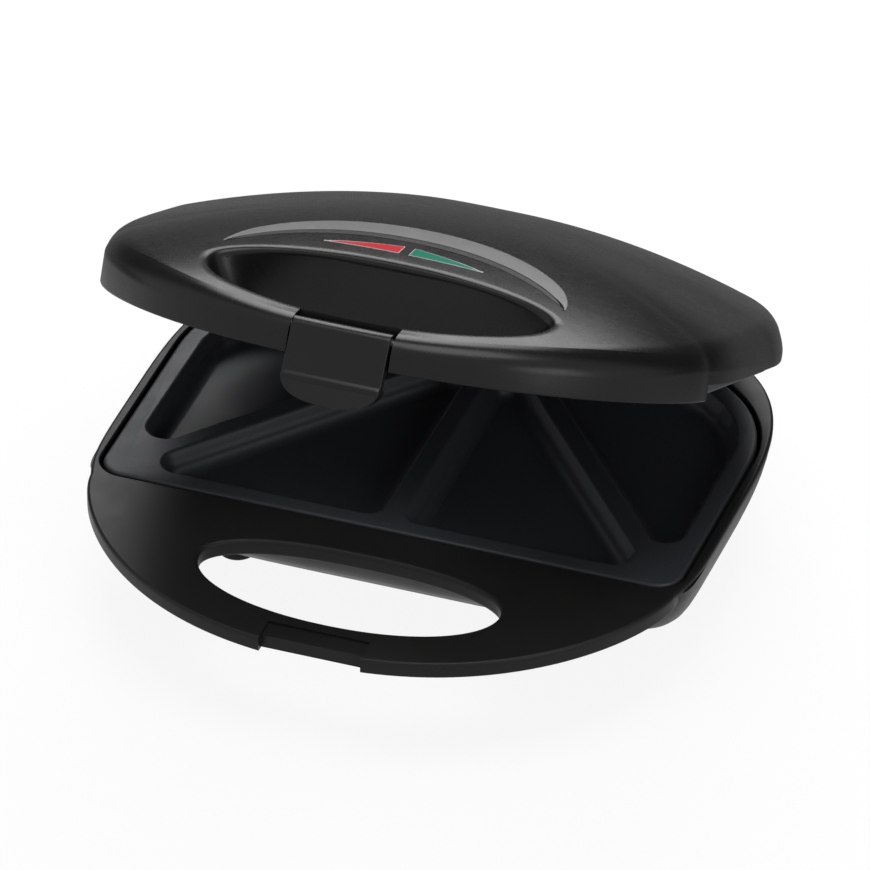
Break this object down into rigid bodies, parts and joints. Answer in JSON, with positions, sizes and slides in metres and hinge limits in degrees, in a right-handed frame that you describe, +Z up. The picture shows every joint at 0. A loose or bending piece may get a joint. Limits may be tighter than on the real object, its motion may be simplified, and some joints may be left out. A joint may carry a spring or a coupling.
{
  "type": "sandwich toaster",
  "caption": "Hinged sandwich toaster with loop handles, a swinging latch clip, indicator lenses and heated non-stick plates with triangular pockets.",
  "frame": {"origin": "centre of the bounding box's bottom face, under the feet, with the lid open at rest", "axes": "+X to the right as seen from the handle side, +Y from the handle towards the hinge, +Z up"},
  "size_m": [0.2264, 0.2322, 0.1493],
  "materials": {
    "base_plastic": "fine satin moulding",
    "hinge_block_plastic": "fine satin moulding",
    "screw_steel": "zinc-plated steel",
    "pin_steel": "ground steel",
    "foot_rubber": "matt rubber",
    "lower_nonstick": "dark non-stick coating on cast aluminium",
    "heater_sheath": "heat-tinted steel sheath",
    "strap_steel": "plain sheet steel",
    "reflector_sheet": "bright rolled sheet",
    "terminal_plastic": "ivory moulding",
    "gland_rubber": "matt rubber",
    "clamp_plastic": "plain moulding",
    "lead_silicone": "silicone insulation",
    "lid_plastic": "satin gloss moulding",
    "liner_plastic": "fine satin moulding",
    "crescent_silver": "silver-grey lacquer",
    "lens_red": "clear coloured plastic",
    "lens_green": "clear coloured plastic",
    "lamp_glass": "clear glass bulbs",
    "upper_nonstick": "dark non-stick coating on cast aluminium",
    "thermostat_ceramic": "glazed ceramic",
    "fuse_body": "lacquered metal case",
    "hinge_arm_plastic": "fine satin moulding",
    "latch_plastic": "satin gloss moulding"
  },
  "bodies": {
    "base": {"base_shell": "base_plastic", "base_hinge_blocks": "hinge_block_plastic", "hinge_block_screws": "screw_steel", "hinge_pins": "pin_steel", "rubber_feet": "foot_rubber", "lower_plate": "lower_nonstick", "lower_heater": "heater_sheath", "lower_heater_straps": "strap_steel", "lower_strap_screws": "screw_steel", "lower_reflector": "reflector_sheet", "lower_reflector_screws": "screw_steel", "lower_plate_screws": "screw_steel", "terminal_block": "terminal_plastic", "cord_gland": "gland_rubber", "cord_clamp": "clamp_plastic", "cord_clamp_screws": "screw_steel", "base_leads": "lead_silicone"},
    "lid": {"lid_shell": "lid_plastic", "lid_handle_liner": "liner_plastic", "liner_screws": "screw_steel", "silver_crescent": "crescent_silver", "red_lens": "lens_red", "green_lens": "lens_green", "lamp_holder": "terminal_plastic", "neon_lamps": "lamp_glass", "upper_plate": "upper_nonstick", "upper_heater": "heater_sheath", "upper_heater_straps": "strap_steel", "upper_strap_screws": "screw_steel", "upper_reflector": "reflector_sheet", "upper_reflector_screws": "screw_steel", "upper_plate_screws": "screw_steel", "thermostat": "thermostat_ceramic", "thermostat_screws": "screw_steel", "thermal_fuse": "fuse_body", "fuse_clip": "strap_steel", "lid_hinge_arms": "hinge_arm_plastic", "hinge_arm_screws": "screw_steel", "lid_leads": "lead_silicone", "latch_pin": "pin_steel"},
    "latch": {"latch_clip": "latch_plastic"}
  },
  "joints": [
    {"name": "lid_hinge", "type": "hinge", "parent": "base", "child": "lid", "pos_m": [0, 0.10224, 0.031], "axis": [-1, 0, 0], "range_deg": [-27, 78]},
    {"name": "latch_hinge", "type": "hinge", "parent": "lid", "child": "latch", "pos_m": [0, -0.07915, 0.14418], "axis": [-1, 0, 0], "range_deg": [-10, 85]}
  ]
}
